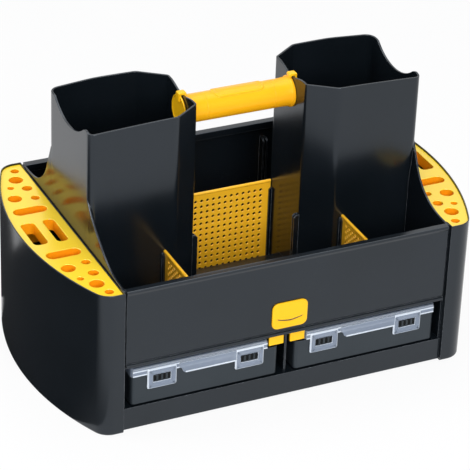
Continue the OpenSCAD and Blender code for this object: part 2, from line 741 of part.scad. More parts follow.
module box_lid() {
  x_in = box_x - box_w / 2 + shelf_w;
  x_out = box_x + box_w / 2;
  y0 = box_front;
  lip_w = 66;
  color(clear) difference() {
    union() {
      // Flange on the tray's rim, cut back at the corner under the latch foot
      difference() {
        translate([0, 0, box_rim]) linear_extrude(flange_t) box_shell_plan(0);
        block([0, x_in], [y0 - 1, y0 + 8], [box_rim - 1, flange_top + 1]);
      }
      // Dome
      translate([(x_in + x_out) / 2, (box_front + box_back) / 2, box_rim + eps])
        linear_extrude(flange_t + dome_h - eps) round_rect(x_out - x_in, box_d, 4);
      // Latch loops, joined to the dome's front
      for (s = [-1, 1]) translate([box_x + s * loop_x, 0, 0]) {
        latch_loop();
        block([-loop_w / 2 + 2, loop_w / 2 - 2], [box_front - 2, box_front + 1], [box_rim + 1.2, loop_z + loop_h - 2]);
      }
      // Stepped finger lip between the loops
      translate([box_x - lip_w / 2 + 2, 0, 0]) {
        block([0, lip_w], [box_front - 1.6, box_front + 0.6], [box_rim + 0.1, dome_top - 3]);
        block([3, lip_w - 3], [box_front - 3, box_front - 0.3], [box_rim - 6, box_rim + 4]);
      }
      // Hinge knuckles
      for (s = [-1, 1])
        translate([box_x + s * hinge_x - hinge_l / 2, 0, 0]) rotate([90, 0, 90]) linear_extrude(hinge_l) {
          translate([hinge_y, hinge_z]) circle(r = 2.3);
          polygon([[hinge_y - 1.2, hinge_z], [hinge_y + 2.3, hinge_z], [hinge_y + 2.3, dome_top - 4],
            [box_back - 1, dome_top - 4], [box_back - 1, box_rim + 1], [hinge_y - 1.2, box_rim + 1]]);
        }
    }
    // Hollow of the dome
    translate([(x_in + x_out) / 2, (box_front + box_back) / 2, box_rim - 1])
      linear_extrude(flange_t + dome_h + 1 - box_wall)
        round_rect(x_out - x_in - 2 * box_wall, box_d - 2 * box_wall, 4 - box_wall);
    for (s = [-1, 1])
      translate([box_x + s * hinge_x - hinge_l, hinge_y, hinge_z]) rotate([0, 90, 0])
        cylinder(r = hinge_r + 0.05, h = 2 * hinge_l);
  }
}

module box_hinge_pins() {
  color(steel) for (s = [-1, 1])
    translate([box_x + s * hinge_x - hinge_l / 2 - 3.6, hinge_y, hinge_z]) rotate([0, 90, 0])
      cylinder(r = hinge_r, h = hinge_l + 7.2);
}

// ---- fasteners ----

module base_screws() {
  z = floor_z - wall - 3;
  color(steel) for (p = screw_spots) translate([p[0], p[1], 0]) difference() {
    union() {
      translate([0, 0, z - 2.6]) cylinder(d = screw_head_d, h = 2.3);
      translate([0, 0, z - 0.4]) cylinder(d = screw_d - 0.7, h = screw_l);
    }
    translate([0, 0, z - 3]) cylinder(d = 3.4, h = 1.8, $fn = 6);
  }
}

base_frame();
bay_deck();
front_panel();
back_panel();
side(-1) end_cap();  // end_cap_left
end_cap();  // end_cap_right
side(-1) tower();  // tower_left
tower();  // tower_right
side(-1) tool_tray();  // tool_tray_left
tool_tray();  // tool_tray_right
handle_grip();
side(-1) handle_end();  // handle_end_left
handle_end();  // handle_end_right
latch_slider();
latch_keeper();
centre_divider();
side(-1) front_divider();  // front_divider_left
front_divider();  // front_divider_right
side(-1) box_tray();  // box_tray_left
box_tray();  // box_tray_right
side(-1) box_partitions();  // box_partitions_left
box_partitions();  // box_partitions_right
side(-1) box_lid();  // box_lid_left
box_lid();  // box_lid_right
side(-1) box_hinge_pins();  // box_hinge_pins_left
box_hinge_pins();  // box_hinge_pins_right
base_screws();
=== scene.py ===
# Tool storage caddy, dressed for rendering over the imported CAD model.
# Sizes are in millimetres from the floor's middle, X to the right, Y to the back, Z up.
import math
import bmesh
import bpy
from mathutils import Matrix, Vector


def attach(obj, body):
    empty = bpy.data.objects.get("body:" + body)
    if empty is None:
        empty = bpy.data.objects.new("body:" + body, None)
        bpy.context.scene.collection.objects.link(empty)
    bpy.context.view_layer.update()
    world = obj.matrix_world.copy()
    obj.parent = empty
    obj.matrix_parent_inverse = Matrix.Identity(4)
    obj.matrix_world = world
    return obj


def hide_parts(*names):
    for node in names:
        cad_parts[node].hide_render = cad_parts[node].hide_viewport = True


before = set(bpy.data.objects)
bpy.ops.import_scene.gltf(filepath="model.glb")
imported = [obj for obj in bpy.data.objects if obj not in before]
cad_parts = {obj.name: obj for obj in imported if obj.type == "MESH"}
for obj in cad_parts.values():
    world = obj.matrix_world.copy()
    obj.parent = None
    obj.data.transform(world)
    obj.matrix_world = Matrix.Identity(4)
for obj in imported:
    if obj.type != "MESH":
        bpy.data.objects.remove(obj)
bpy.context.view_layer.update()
# ---- base and bay deck ----
# The black moulded base carries everything; its front shows as a plain rail under the boxes.
# The deck over the bays, with their side walls and the post between them, stands on the base.
# Both keep their CAD shapes.


class Wire:
    """An output socket that can be added, multiplied and subtracted."""

    def __init__(self, net, socket):
        self.net, self.socket = net, socket

    def math(self, kind, a, b):
        return self.net.node("ShaderNodeMath", {0: a, 1: b}, operation=kind)

    def __add__(self, other):
        return self.math("ADD", self, other)

    def __sub__(self, other):
        return self.math("SUBTRACT", self, other)

    def __rsub__(self, other):
        return self.math("SUBTRACT", other, self)

    def __mul__(self, other):
        return self.math("MULTIPLY", self, other)
    __radd__, __rmul__ = __add__, __mul__

    def most(self, other):
        return self.math("MAXIMUM", self, other)
    def ramp(self, low, high, to_low=0.0, to_high=1.0):
        """Runs smoothly from to_low to to_high while the value goes from low to high."""
        return self.net.node("ShaderNodeMapRange", {"Value": self, "From Min": low, "From Max": high,
            "To Min": to_low, "To Max": to_high}, interpolation_type="SMOOTHSTEP")

class Net:
    """The nodes of one material, or of the world."""

    def __init__(self, name, world=None):
        self.holder = world or bpy.data.materials.new(name)
        self.holder.use_nodes = True
        self.nodes = self.holder.node_tree.nodes
        self.shader = self.nodes["Background" if world else "Principled BSDF"]

    def put(self, socket, value):
        if isinstance(value, Wire):
            self.holder.node_tree.links.new(value.socket, socket)
        else:
            socket.default_value = value
    def node(self, kind, inputs=None, out=0, **settings):
        made = self.nodes.new(kind)
        for key, value in settings.items():
            setattr(made, key, value)
        for key, value in (inputs or {}).items():
            self.put(made.inputs[key], value)
        return Wire(self, made.outputs[out])

    def place(self, stretch=(1, 1, 1)):
        """Object coordinates in metres, stretched along the axes."""
        here = self.node("ShaderNodeTexCoord", out="Object")
        return self.node("ShaderNodeMapping", {"Vector": here, "Scale": stretch})

    def noise(self, where, scale, detail=2.0, rough=0.5):
        return self.node("ShaderNodeTexNoise",
            {"Vector": where, "Scale": scale, "Detail": detail, "Roughness": rough}, out="Fac")

    def mix(self, share, a, b):
        """A blend of two colours."""
        return self.node("ShaderNodeMix", {0: share, 6: a, 7: b}, out=2, data_type="RGBA")

    def seen(self):
        """1 where a surface is looked at directly, or in gloss or glass."""
        camera, gloss, glass = (self.node("ShaderNodeLightPath", out=kind)
            for kind in ("Is Camera Ray", "Is Glossy Ray", "Is Transmission Ray"))
        return camera.most(gloss).most(glass)
    def edges(self, radius, keen):
        """1 along edges that turn by more than keen, 0 on open faces."""
        soft = self.node("ShaderNodeBevel", {"Radius": radius}, samples=4)
        flat = self.node("ShaderNodeNewGeometry", out="Normal")
        dot = self.node("ShaderNodeVectorMath", {0: soft, 1: flat}, out="Value", operation="DOT_PRODUCT")
        return (1.0 - dot).ramp(keen / 20, keen)

    def set(self, **values):
        for key, value in values.items():
            self.put(self.shader.inputs[key.replace("_", " ")], value)
        return self


def rgb(*values):
    """A colour from 0-255 screen values, as the shaders take it."""
    return tuple(((v / 255 + 0.055) / 1.055) ** 2.4 if v > 10 else v / 255 / 12.92 for v in values) + (1.0,)


def moulded(name, tint, drift, scuff_and_highlight_colour, rough, grain, edge=0.0006, wave=0.00006, speck=0.25, highlight_share=0.25,
        keen=0.2):
    """Injection-moulded plastic. tint is the fresh colour, drift the slow change over a piece,
    scuff_and_highlight_colour the pale colour of dust specks, scuffed edges and painted edge
    highlights, grain the depth of the fine texture in metres, highlight_share the share of the
    edges that is painted pale all along as a highlight."""
    net = Net(name)
    here = net.place()
    slow = net.noise(here, 9.0, 3.0)
    streak = net.noise(net.place((60, 60, 5)), 1.0, 3.0, 0.6)
    fine = net.noise(here, 1500.0, 2.0, 0.6)
    dust = net.noise(here, 420.0, 4.0, 0.7).ramp(0.60, 0.78)
    # Pale edges: scuffs where the noise says so, plus a painted highlight all along the edges at the set
    # share
    scuffs_and_highlights = net.edges(edge, keen) * net.noise(here, 160.0, 3.0).ramp(0.38, 0.66, highlight_share, 1.0)
    colour = net.mix(slow.ramp(0.3, 0.7), tint, drift)
    colour = net.mix(dust * (0.10 * speck) + scuffs_and_highlights * 0.75, colour, scuff_and_highlight_colour)
    shine = rough + (slow - 0.5) * 0.10 + (streak - 0.5) * 0.08 + dust * 0.12 + scuffs_and_highlights * 0.15
    height = fine * grain + net.noise(here, 22.0, 1.0) * wave + streak * (wave * 0.15)
    round_edge = net.node("ShaderNodeBevel", {"Radius": edge}, samples=4)
    bump = net.node("ShaderNodeBump", {"Strength": 1.0, "Distance": 1.0, "Height": height,
        "Normal": round_edge}, out="Normal")
    return net.set(Base_Color=colour, Roughness=shine, Normal=bump, IOR=1.5)

# Black plastic; 0.45 of its edges are painted pale all along as highlights
black = moulded("black_plastic", rgb(13, 18, 22), rgb(17, 22, 27), rgb(150, 154, 160), 0.20,
    0.0000010, highlight_share=0.45)
black.set(Specular_IOR_Level=0.55, Specular_Tint=(0.83, 0.905, 1.0, 1.0))

def dress(net, *names):
    """Gives CAD nodes that show a finished material."""
    for name in names:
        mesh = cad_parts[name].data
        mesh.materials.clear()
        mesh.materials.append(net.holder)

dress(black, "base_frame", "bay_deck")

# ---- end caps ----
# A deep black cup at each end with a bowed outer wall and a straight wall at the seam. Its rim
# is a thin rolled edge that stands a little above the tool tray, and its foot is rounded.
MM = 0.001
SEAM_GAP, SEAM_DROP, SEAM_Y, RIM_THICK, FOOT_R = 0.3, 1.9, (150, 156), 1.1, 3
HALF_W, HALF_D, TOP, WALL = 210.0, 168.0, 190.0, 2.5
BULGE_X, BULGE_R, CORNER_R = 210 + 65 - 370, 370.0, 22.0
CORNER_Y = HALF_D - CORNER_R
CORNER_X = BULGE_X + math.sqrt((BULGE_R - CORNER_R) ** 2 - CORNER_Y ** 2)
CORNER_A = math.degrees(math.atan2(CORNER_Y, CORNER_X - BULGE_X))

def arc(cx, cy, r, start, end, n):
    return [(cx + r * math.cos(math.radians(start + (end - start) * i / n)),
             cy + r * math.sin(math.radians(start + (end - start) * i / n))) for i in range(n + 1)]


def grow(loop, d):
    """A closed outline that runs counter-clockwise, moved outwards by d."""
    made = []
    for i, p in enumerate(loop):
        a = Vector(p) - Vector(loop[i - 1])
        b = Vector(loop[(i + 1) % len(loop)]) - Vector(p)
        a.normalize(), b.normalize()
        side = Vector((a.y + b.y, -a.x - b.x))
        made.append(tuple(Vector(p) + side * d / max(1 + a.dot(b), 0.4)))
    return made


def at(loop, z):
    return [(x, y, z) for x, y in loop]


def ring(bm, loop, closed=True):
    """The first points of a shell, joined by edges."""
    row = [bm.verts.new(Vector(p) * MM) for p in loop]
    for a, b in pairs(row, closed):
        bm.edges.new((a, b))
    return row


def pairs(row, closed=True):
    return list(zip(row, row[1:] + row[:1] * closed))


def around(bm, row, closed=True):
    return [bm.edges.get(pair) for pair in pairs(row, closed)]


def draw_on(bm, row, loop):
    """Extrudes a closed row of points and sets the new ones on the loop."""
    fresh = {v for v in bmesh.ops.extrude_edge_only(bm, edges=around(bm, row))["geom"]
        if isinstance(v, bmesh.types.BMVert)}
    made = [next(e.other_vert(v) for e in v.link_edges if e.other_vert(v) in fresh) for v in row]
    for v, p in zip(made, loop):
        v.co = Vector(p) * MM
    return made


def join(bm, loops, ends=False):
    """Draws a shell through loops of equally many points and returns its rows."""
    rows = [ring(bm, loops[0])]
    for loop in loops[1:]:
        rows.append(draw_on(bm, rows[-1], loop))
    if ends:
        for row in (rows[0], rows[-1]):
            bmesh.ops.contextual_create(bm, geom=around(bm, row))
    return rows


def close(bm, *rows):
    """Fills a flat area: the first row is its outline, the others are holes in it."""
    bmesh.ops.triangle_fill(bm, use_beauty=True, edges=[e for row in rows for e in around(bm, row)])


def fillet(r, n=4):
    """(inset, drop) steps round an edge of radius r, from the wall up to the face."""
    turns = [math.pi / 2 * i / n for i in range(n + 1)]
    return [(r - r * math.cos(a), r - r * math.sin(a)) for a in turns]


def piece(name, bm, net, body="root", stands_for=(), mirrored=False, sharp=40):
    """Turns the built mesh into a shaded object that rides on its body."""
    if mirrored:
        bmesh.ops.scale(bm, vec=(-1, 1, 1), verts=bm.verts)
    bmesh.ops.recalc_face_normals(bm, faces=bm.faces)
    for f in bm.faces:
        f.smooth = True
    for e in bm.edges:
        e.smooth = len(e.link_faces) == 2 and e.calc_face_angle(0) < math.radians(sharp)
    mesh = bpy.data.meshes.new(name)
    bm.to_mesh(mesh)
    bm.free()
    made = bpy.data.objects.new(name, mesh)
    bpy.context.scene.collection.objects.link(made)
    mesh.materials.append(net.holder)
    even = made.modifiers.new("even_normals", "WEIGHTED_NORMAL")
    even.keep_sharp = True
    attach(made, body)
    if stands_for:
        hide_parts(*stands_for)
    return made


def cap_plan(t, x_in, n=48):
    """Plan of the right-hand cap moved in by t, from its front corner round to its back corner."""
    return ([(x_in, -(HALF_D - t))] + arc(CORNER_X, -CORNER_Y, CORNER_R - t, -90, -CORNER_A, 10)
        + arc(BULGE_X, 0, BULGE_R - t, -CORNER_A, CORNER_A, n)[1:-1]
        + arc(CORNER_X, CORNER_Y, CORNER_R - t, CORNER_A, 90, 10) + [(x_in, HALF_D - t), (x_in, SEAM_Y[1]),
            (x_in, SEAM_Y[0]), (x_in, -SEAM_Y[0]), (x_in, -SEAM_Y[1])])


def rim_of_cap(t, x_in, z):
    """The cap's plan at the height of its rim, which drops along the seam."""
    plan = cap_plan(t, x_in)
    return at(plan[:-3], z) + at(plan[-3:-1], z - SEAM_DROP) + at(plan[-1:], z)


for side, hand in (("left", -1), ("right", 1)):
    bm = bmesh.new()
    foot = [at(cap_plan(FOOT_R - FOOT_R * math.sin(a), HALF_W + SEAM_GAP), FOOT_R - FOOT_R * math.cos(a))
        for a in (0, 0.4, 0.8, 1.2, math.pi / 2)]
    lip = [(0, 1.2)] + fillet(0.8)[1:] + [(RIM_THICK - i, d) for i, d in reversed(fillet(0.3, 2))]
    # Ledge that the tool tray rests on
    inside = [(RIM_THICK, 184.6), (WALL, 184.4), (WALL, 181.2), (WALL + 2, 181.1), (WALL + 2, 178),
        (WALL, 177), (WALL, WALL)]
    rows = join(bm, foot + [at(cap_plan(0, HALF_W), 5)] + [rim_of_cap(i, HALF_W + i, TOP - d) for i, d in lip]
        + [at(cap_plan(i, HALF_W + i), z) for i, z in inside])
    close(bm, rows[0]), close(bm, rows[-1])
    piece("end_cap_shell_" + side, bm, black, stands_for=["end_cap_" + side],
        mirrored=hand < 0)

# ---- tall bins ----
# Black moulded wells with slanted corner faces, screwed to the base. The thin rim is scooped on
# the outside, dips over the grip and falls a little outwards. Swept wings run from the outer
# edges down to the panels, and the wall swells out above them.
BIN_H, BIN_X, BIN_Y, CORE = 344.0, 70.0, 64.5, 209.7
DECK_TOP, FLOOR, PANEL_Y, PANEL_IN = 89.9, 31.0, 165.0, 162.5
RIM_Y, PANEL_X, RAIL_TOP, BAY_END = 157.0, 206.9, 167.7, 6.0


def bin_plan():
    """The bin's plan, counter-clockwise, with points close enough together for a curved rim."""
    corners = [(BIN_X, -41), (BIN_X + 33, -BIN_Y), (CORE, -BIN_Y), (CORE, BIN_Y), (156.35, BIN_Y + 4),
        (BIN_X + 33, BIN_Y), (BIN_X, 41)]
    radii = [5, 14, 8, 12, 150, 14, 5]
    made = []
    for i, p in enumerate(corners):
        p, r = Vector(p), radii[i]
        u = (Vector(corners[i - 1]) - p).normalized()
        v = (Vector(corners[(i + 1) % 7]) - p).normalized()
        half = u.angle(v) / 2
        c = p + (u + v).normalized() * (r / math.sin(half))
        s = p + u * (r / math.tan(half)) - c
        start = math.degrees(math.atan2(s.y, s.x))
        bend = arc(c.x, c.y, r, start, start + 180 - math.degrees(2 * half), 7)
        if made:
            a, b = Vector(made[-1]), Vector(bend[0])
            steps = max(1, round((b - a).length / 4))
            made += [tuple(a.lerp(b, k / steps)) for k in range(1, steps)]
        made += bend
    a, b = Vector(made[-1]), Vector(made[0])
    steps = round((b - a).length / 4)
    return made + [tuple(a.lerp(b, k / steps)) for k in range(1, steps)]


def rim_height(x, y):
    """Height of the bin's rim over a point of its plan."""
    out = (x - BIN_X - 33) / (CORE - BIN_X - 33)
    z = BIN_H - 4 * max(out, 0) ** 1.4
    if x > CORE - 4 and abs(y) < 46:
        r = (46.0 ** 2 + 17.5 ** 2) / 35
        z = BIN_H - 21.5 + r - math.sqrt(r * r - y * y)
    if x > CORE - 7 and y < 0:
        z += 1.6 * math.exp(-((y + 53) / 4.5) ** 2)
    if x < BIN_X + 8 and abs(y) < 34:
        z -= 6 * math.cos(math.pi * y / 68) ** 2
    return z


def wing_start(way):
    return 56.5 if way < 0 else 57.0


def wing_height(y):
    u = (abs(y) - wing_start(y)) / (PANEL_IN - 0.3 - wing_start(y))
    return TOP + (68 * (1 - u) ** 3 if y < 0 else 78 * (1 - u) ** 3.3)


def smooth(low, high, value):
    t = min(max((value - low) / (high - low), 0), 1)
    return t * t * (3 - 2 * t)


def swell(x, y, z):
    """Moves a point of the bin or its wings outwards where the outer wall swells."""
    return (x + 3.3 * smooth(196, 250, z) * smooth(CORE - 45, CORE - 6, x) * smooth(112, 66, abs(y)), y, z)


def turned(bm, matrix, first=0):
    """Turns the points made since first."""
    bm.verts.ensure_lookup_table()
    bmesh.ops.transform(bm, matrix=matrix, verts=bm.verts[first:])


def rail(bm, x, y, z0, out, turn=0.0):
    """A pair of ribs with slanted tops that hold a divider's edge, facing -Y before the turn."""
    first = len(bm.verts)
    rib = [(1, z0), (-out, z0), (-out, RAIL_TOP - 3), (-out + 3, RAIL_TOP), (1, RAIL_TOP)]
    for s in (-1, 1):
        join(bm, [[(side_x, *point) for point in rib] for side_x in (s * 1.3, s * 3.3)], ends=True)
    place = Matrix.Translation(Vector((x, y, 0)) * MM)
    turned(bm, place @ Matrix.Rotation(math.radians(turn), 4, "Z"), first)


for side, hand in (("left", -1), ("right", 1)):
    bm = bmesh.new()
    plan = bin_plan()
    heights = [rim_height(x, y) for x, y in plan]
    lip = fillet(0.6, 3) + [(WALL - i, d) for i, d in reversed(fillet(0.6, 3))]
    outer = [at(plan, DECK_TOP)] + [at(plan, z) for z in range(196, 261, 8)]
    for i, d in [(0, 12)] + lip:
        outer.append([(x, y, z - d) for (x, y), z in zip(grow(plan, -i), heights)])
    outer.append([(x, y, z - 8) for (x, y), z in zip(grow(plan, -WALL), heights)])
    outer += [at(grow(plan, -WALL), z) for z in range(260, 195, -8)]
    outer += [at(grow(plan, -WALL - i), DECK_TOP + WALL + d) for i, d in fillet(2.5)]
    rows = join(bm, [[swell(*p) for p in loop] for loop in outer])
    close(bm, rows[0]), close(bm, rows[-1])
    # Wings: upright strips whose top edge sweeps down to the panels
    for way in (-1, 1):
        loops = []
        for k in range(-1, 41):
            start = wing_start(way)
            y = way * (start + (PANEL_IN - 0.3 - start) * (max(k, 0) / 40) ** 1.3)
            z = wing_height(y)
            y -= way * 7 * (k < 0)
            foot = DECK_TOP if way < 0 else FLOOR
            side_z = [foot] + [188 + (z - 1.2 - 188) * t / 6 for t in range(7)]
            loop = ([(CORE, y, zz) for zz in side_z] + [(CORE - 0.3, y, z - 0.3), (CORE - 1.25, y, z),
                (CORE - 2.2, y, z - 0.3)] + [(CORE - WALL, y, zz) for zz in reversed(side_z)])
            loops.append([swell(x - 0.4 * (k < 0), y, z) for x, y, z in loop])
        join(bm, loops, ends=True)
    # Skirt that goes on down behind the bays
    tail = [p for p in plan if p[1] > BAY_END]
    tail.sort(key=lambda p: math.atan2(p[1] - BAY_END, p[0] - 140))
    inner = [tuple(Vector(p) + (Vector((140, 20)) - Vector(p)).normalized() * WALL) for p in tail]
    join(bm, [[(*a, FLOOR), (*a, DECK_TOP), (*b, DECK_TOP), (*b, FLOOR)] for a, b in zip(tail, inner)],
        ends=True)
    rail(bm, 117, -BIN_Y, DECK_TOP, 5)
    rail(bm, 117, BIN_Y, FLOOR, 5, 180)
    rail(bm, BIN_X, -37.5, DECK_TOP, 6, -90)
    rail(bm, BIN_X, 37.5, FLOOR, 4, -90)
    piece("tall_bin_" + side, bm, black, stands_for=["tower_" + side], mirrored=hand < 0)

# ---- front and back panels ----
# Flat black walls with a rolled rim along the top, set between the caps. The front one has a
# shadow groove and a lip over the bays; both carry the outer ends of the divider slots inside.


def panel_section(x, foot, front):
    """The panel's outline at one x, facing -Y."""
    low = []
    if front:
        low = [(-PANEL_Y - 1.2, 87.4), (-PANEL_Y - 2, 88.2), (-PANEL_Y - 2, 90.4), (-PANEL_Y - 1.6, 91.1),
            (-PANEL_Y - 0.9, 91.4), (-PANEL_Y + 0.8, 91.6), (-PANEL_Y + 0.8, 94.2), (-PANEL_Y + 0.2, 94.5),
            (-PANEL_Y, 95)]
    else:
        low = [(-PANEL_Y, foot), (-PANEL_Y, foot + 5)]
    out = 1.5 if front else 3.0
    side = ([(-PANEL_IN, foot)] + low + [(-PANEL_Y, TOP - 4.6 - out), (-PANEL_Y - 0.3, TOP - 3.9 - out),
        (-PANEL_Y - out, TOP - 3.2)] + arc(-PANEL_Y - out + 2, TOP - 2, 2, 180, 90, 6)
        + [(-RIM_Y - 3, TOP)] + arc(-RIM_Y - 1.4, TOP - 1.4, 1.4, 90, 0, 4)
        + [(-RIM_Y, TOP - 9), (-RIM_Y - 1.8, TOP - 9), (-RIM_Y - 1.8, TOP - WALL), (-PANEL_IN, TOP - WALL)])
    return [(x, y, z) for y, z in side]


for name, foot, way in (("front", 87.4, 1), ("back", FLOOR, -1)):
    bm = bmesh.new()
    join(bm, [panel_section(x, foot, way > 0) for x in (-PANEL_X, PANEL_X)], ends=True)
    for x in (-117, 117):
        rail(bm, x, -PANEL_IN, 90.2 if way > 0 else FLOOR, 10.5, 180)
    if way < 0:
        turned(bm, Matrix.Rotation(math.pi, 4, "Z"))
    piece(name + "_panel_skin", bm, black, stands_for=[name + "_panel"])

# ---- tool trays ----
# Bowed yellow plates set into the caps: two open slots with rounded walls, an oblong cup either
# side of them and six round cups towards each end, all with softened mouths.
# The trays' yellow is a paler copy of the plastic's yellow: painted sheen of the soft light on their top
# faces
tray_yellow_with_sheen = moulded("yellow_tray_painted_sheen", rgb(250, 214, 40), rgb(249, 209, 34), rgb(255, 232, 130), 0.30,
    0.0000012, speck=0.1, highlight_share=0.5)
tray_yellow_with_sheen.set(Specular_IOR_Level=1.0)
# A deeper orange copy of the yellow for the walls and floors of the cups and slots: painted shade of the
# hollows
cup_yellow_painted_shade = moulded("yellow_cups_painted_shade", rgb(250, 163, 14), rgb(247, 156, 10), rgb(254, 196, 60), 0.36,
    0.0000012, speck=0.1)
TRAY_TOP, TRAY_FOOT, TRAY_GAP, TRAY_EDGE, TRAY_UNDER = 187.7, 185.2, 1.3, 0.7, 0.3
# Distance past the seam, distance from the middle line, diameter
ROUND_CUPS = ((13.5, 152.5, 10.5), (20, 131, 17.5), (33, 114, 8), (14.5, 107, 12.5), (37.5, 87.5, 17),
    (13.5, 81.5, 10.5))
# Distance past the seam, width, length
SLOTS = ((19.5, 14, 54), (46, 17.5, 52))
CUP_DEPTH, SLOT_DEPTH, CUP_WALL, SLOT_WALL = 40, 15, 1.2, 1.4
WIDEST_CUP = max(d for dx, y, d in ROUND_CUPS)


def oblong(cx, cy, w, h, r, n=6):
    """Rectangle with round corners, counter-clockwise."""
    made = []
    for sx, sy, a in ((1, 1, 0), (-1, 1, 90), (-1, -1, 180), (1, -1, 270)):
        made += arc(cx + sx * (w / 2 - r), cy + sy * (h / 2 - r), r, a, a + 90, n)
    return made


def disc(cx, cy, r, n=32):
    return arc(cx, cy, r, 0, 360, n)[:-1]


def tray_plate(bm, outline, sunk):
    """A plate with round edges. sunk are (loop, depth, wall) of cups below its face, closed where
    wall is above 0 and open at the bottom where it is below 0."""
    z0, z1 = TRAY_FOOT, TRAY_TOP
    edge = join(bm, [at(grow(outline, -i), z0 + d) for i, d in reversed(fillet(TRAY_UNDER, 2))]
        + [at(grow(outline, -i), z1 - d) for i, d in fillet(TRAY_EDGE)])
    upper, lower = [edge[-1]], [edge[0]]
    for loop, depth, wall in sunk:
        thick, floor = abs(wall), z1 - depth
        inside = [at(grow(loop, i), z1 - d) for i, d in reversed(fillet(TRAY_EDGE))]
        outside = [at(grow(loop, thick - 1.0), floor), at(grow(loop, thick - 0.4), floor + 0.8),
            at(grow(loop, thick), z0)]
        if wall > 0:
            inner = join(bm, inside + [at(grow(loop, -0.4), floor + thick + 1.2),
                at(grow(loop, -1.4), floor + thick)])
            outer = join(bm, outside)
            close(bm, inner[-1]), close(bm, outer[0])
        else:
            inner = outer = join(bm, inside + [at(grow(loop, -0.4), floor + thick),
                at(grow(loop, -0.4), floor)] + outside)
        upper.append(inner[0]), lower.append(outer[-1])
    close(bm, *upper), close(bm, *lower)


for side, hand in (("left", -1), ("right", 1)):
    bm = bmesh.new()
    sunk = []
    for s in (-1, 1):
        for dx, y, d in ROUND_CUPS:
            sunk.append((disc(HALF_W + dx, s * y, d / 2, 28), CUP_DEPTH * d / WIDEST_CUP, CUP_WALL))
        sunk.append((oblong(HALF_W + 30.5, s * 54.5, 42, 16, 8, 9), CUP_DEPTH, SLOT_WALL))
    for dx, w, l in SLOTS:
        sunk.append((oblong(HALF_W + dx, 0, w, l, 5.5, 7), SLOT_DEPTH, -SLOT_WALL))
    tray_plate(bm, cap_plan(TRAY_GAP, HALF_W + TRAY_GAP), sunk)
    made = piece("tool_tray_" + side + "_dressed", bm, tray_yellow_with_sheen,
        stands_for=["tool_tray_" + side], mirrored=hand < 0)
    # Faces lower than just under the tray's face, the cups and slots among them, take the deeper orange copy:
    # painted shade
    made.data.materials.append(cup_yellow_painted_shade.holder)
    for face in made.data.polygons:
        face.material_index = int(face.center.z < (TRAY_TOP - 0.8) * MM)

# ---- carrying grip ----
# A yellow tube that flares into a collar at each bin, with a raised pad on top. Its two ends
# are dished discs inside the bins, each with a clip that hooks over the rim.
# A deeper orange copy of the yellow for the tube: painted shade standing for the orange of its shaded
# underside
grip_yellow_painted_shade = moulded("yellow_grip_painted_shade", rgb(250, 180, 18), rgb(247, 172, 14), rgb(255, 214, 90), 0.32,
    0.0000012, speck=0.1)
grip_yellow_painted_shade.set(Specular_Tint=(1.0, 0.86, 0.4, 1.0))
GRIP_Z, GRIP_R, GRIP_BORE, GRIP_END = 317.0, 17.25, 14.3, 73.1


def revolve(bm, profile, steps, closed=False):
    """Spins an (x, radius) profile round the grip's axis."""
    row = ring(bm, [(x, r, GRIP_Z) for x, r in profile], closed)
    bmesh.ops.spin(bm, geom=row + around(bm, row, closed), cent=(0, 0, GRIP_Z * MM), axis=(1, 0, 0),
        angle=math.tau, steps=steps, use_merge=True)
    bmesh.ops.remove_doubles(bm, verts=bm.verts, dist=1e-6)


bm = bmesh.new()
half = [(GRIP_END, GRIP_BORE), (GRIP_END, GRIP_R - 0.3), (72.8, GRIP_R), (69.8, GRIP_R),
    (69.7, GRIP_R + 1.6), (69.3, GRIP_R + 2), (67.2, GRIP_R + 2), (66.8, GRIP_R + 1.6), (66.2, GRIP_R + 0.9),
    (62, GRIP_R + 0.35),
    (56, GRIP_R), (44.6, GRIP_R), (44.2, GRIP_R - 0.35), (43.8, GRIP_R - 0.35), (43.4, GRIP_R)]
revolve(bm, [(-x, r) for x, r in half] + list(reversed(half)), 72, closed=True)


def on_grip(g, lift):
    """The pad's outline taken in by g and wrapped round the top of the grip, lift above it."""
    flat = oblong(0, 0, 64 - 2 * g, 24 - 2 * g, max(7 - g, 0.05), 7)
    return [(x, -(GRIP_R + lift) * math.sin(s / GRIP_R), GRIP_Z + (GRIP_R + lift) * math.cos(s / GRIP_R))
            for x, s in flat]


steps = [(11.9, -0.8), (6, -0.8), (0, -0.8), (0, 0.1), (0.15, 0.6), (0.6, 0.95), (1.3, 1.0), (3.2, 1.0),
    (3.5, 0.9), (3.8, 0.6), (4.4, 0.55), (6, 0.55), (8, 0.55), (10, 0.55), (11.9, 0.55)]
rows = join(bm, [on_grip(g, lift) for g, lift in steps])
close(bm, rows[0]), close(bm, rows[-1])
piece("grip_tube", bm, grip_yellow_painted_shade, stands_for=["handle_grip"])

yellow = moulded("yellow_plastic", rgb(251, 193, 20), rgb(249, 186, 14), rgb(255, 226, 104), 0.30,
    0.0000012, speck=0.1, highlight_share=0.5)
yellow.set(Specular_Tint=(1.0, 0.9, 0.55, 1.0))

